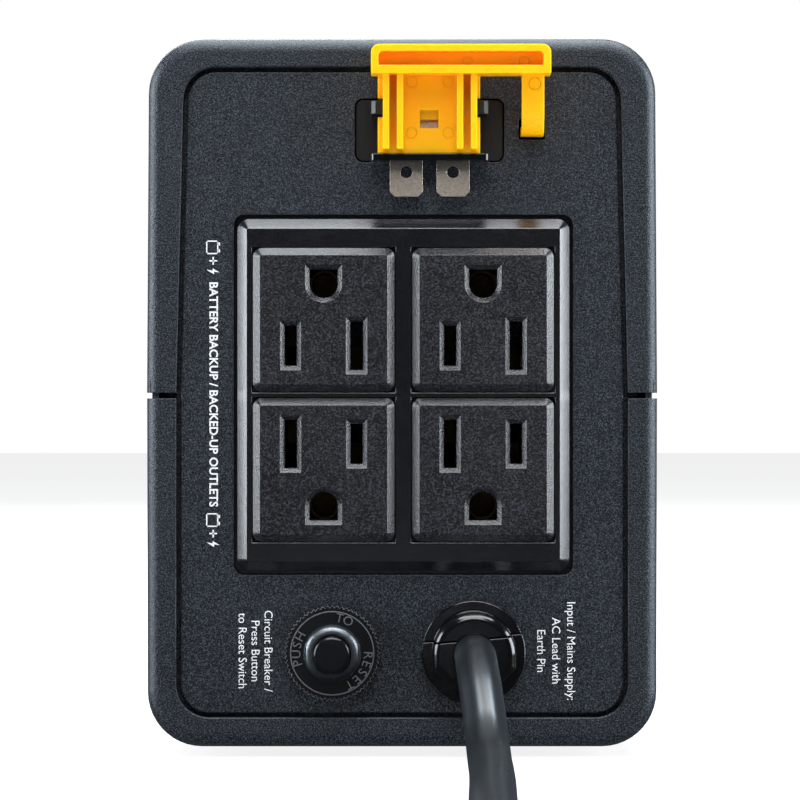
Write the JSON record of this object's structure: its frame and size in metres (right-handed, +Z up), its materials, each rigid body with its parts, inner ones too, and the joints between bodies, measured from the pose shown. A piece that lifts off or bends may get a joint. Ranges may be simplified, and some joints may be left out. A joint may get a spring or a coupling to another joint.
{
  "type": "uninterruptible power supply",
  "caption": "Small tower uninterruptible power supply: two-shell plastic case with rear outlets, yellow battery connector, reset breaker and mains cord.",
  "frame": {"origin": "on the surface the object stands on, under the middle of the object's box with its free cord left out", "axes": "+Z up, +X across, -Y the front with the power button, +Y the rear with the outlets and the cord"},
  "size_m": [0.1226, 0.6816, 0.139],
  "materials": {
    "case_plastic": "fine textured charcoal",
    "front_plastic": "fine textured charcoal",
    "steel_screw": "zinc plated",
    "foot_rubber": "soft black",
    "module_plastic": "satin black",
    "outlet_plastic": "fine textured charcoal",
    "inner_plastic": "plain black",
    "brass": "bare",
    "handle_yellow": "satin yellow orange",
    "gloss_black": "glossy black",
    "nickel": "nickel plated",
    "socket_plastic": "satin black",
    "nut_plastic": "satin black",
    "bushing_metal": "glossy black",
    "breaker_plastic": "plain black",
    "button_plastic": "satin black",
    "spring_steel": "bright wire",
    "cord_rubber": "semi gloss black",
    "plug_rubber": "satin black",
    "tie_plastic": "black strap",
    "battery_plastic": "moulded grey",
    "battery_top": "moulded grey",
    "foam": "closed cell foam",
    "lamination_steel": "stacked laminations",
    "bobbin_plastic": "natural nylon",
    "copper": "enamelled copper",
    "winding_tape": "yellow tape",
    "strap_steel": "zinc plated",
    "board_green": "solder mask",
    "sink_aluminium": "extruded",
    "chip_black": "moulded epoxy",
    "relay_blue": "moulded",
    "capacitor_sleeve": "shrink sleeve",
    "fuse_green": "translucent green",
    "led_green": "clear epoxy",
    "lens_smoke": "diffusing clear",
    "lead_red": "insulated wire"
  },
  "bodies": {
    "case": {"battery_case": "battery_plastic", "battery_leads": "lead_red", "battery_lid": "battery_top", "battery_pads": "foam", "battery_socket": "socket_plastic", "battery_socket_contacts": "nickel", "battery_terminals": "nickel", "board_fuse": "fuse_green", "bottom_tray": "case_plastic", "breaker_body": "breaker_plastic", "breaker_bushing": "bushing_metal", "breaker_nut": "nut_plastic", "breaker_terminals": "nickel", "buzzer": "chip_black", "capacitors": "capacitor_sleeve", "case_screws": "steel_screw", "controller_chips": "chip_black", "cord_grip_lower": "gloss_black", "cord_grip_upper": "gloss_black", "cord_tie": "tie_plastic", "front_bezel": "front_plastic", "front_board": "board_green", "ground_contacts": "brass", "heat_sink": "sink_aluminium", "inner_screws": "steel_screw", "line_contacts": "brass", "lower_left_outlet": "outlet_plastic", "lower_right_outlet": "outlet_plastic", "main_board": "board_green", "mains_cord": "cord_rubber", "mains_cord_coil": "cord_rubber", "mains_cord_end": "cord_rubber", "mains_plug": "plug_rubber", "mains_plug_pins": "nickel", "neutral_contacts": "brass", "outlet_bezel": "module_plastic", "outlet_contact_carrier": "inner_plastic", "power_switch_body": "inner_plastic", "power_switch_spring": "spring_steel", "power_transistors": "chip_black", "primary_winding": "copper", "rear_panel": "case_plastic", "relays": "relay_blue", "reset_spring": "spring_steel", "rubber_feet": "foot_rubber", "secondary_winding": "winding_tape", "status_leds": "led_green", "status_lens": "lens_smoke", "top_cover": "case_plastic", "transformer_bobbin": "bobbin_plastic", "transformer_core": "lamination_steel", "transformer_strap": "strap_steel", "upper_left_outlet": "outlet_plastic", "upper_right_outlet": "outlet_plastic"},
    "battery_plug": {"battery_plug_handle": "handle_yellow", "battery_plug_carrier": "gloss_black", "battery_plug_bridge": "nickel"},
    "power_button": {"power_button": "button_plastic", "power_switch_plunger": "inner_plastic"},
    "reset_button": {"reset_button": "button_plastic"}
  },
  "joints": [
    {"name": "battery_plug_slide", "type": "slide", "parent": "case", "child": "battery_plug", "axis": [0, 1, 0], "range_m": [0, 0.03]},
    {"name": "power_button_slide", "type": "slide", "parent": "case", "child": "power_button", "axis": [0, 1, 0], "range_m": [0, 0.0016], "stiffness_N_per_m": 400, "deforming": ["power_switch_spring"]},
    {"name": "reset_button_slide", "type": "slide", "parent": "case", "child": "reset_button", "axis": [0, 1, 0], "range_m": [0, 0.003], "stiffness_N_per_m": 300, "deforming": ["reset_spring"]}
  ]
}
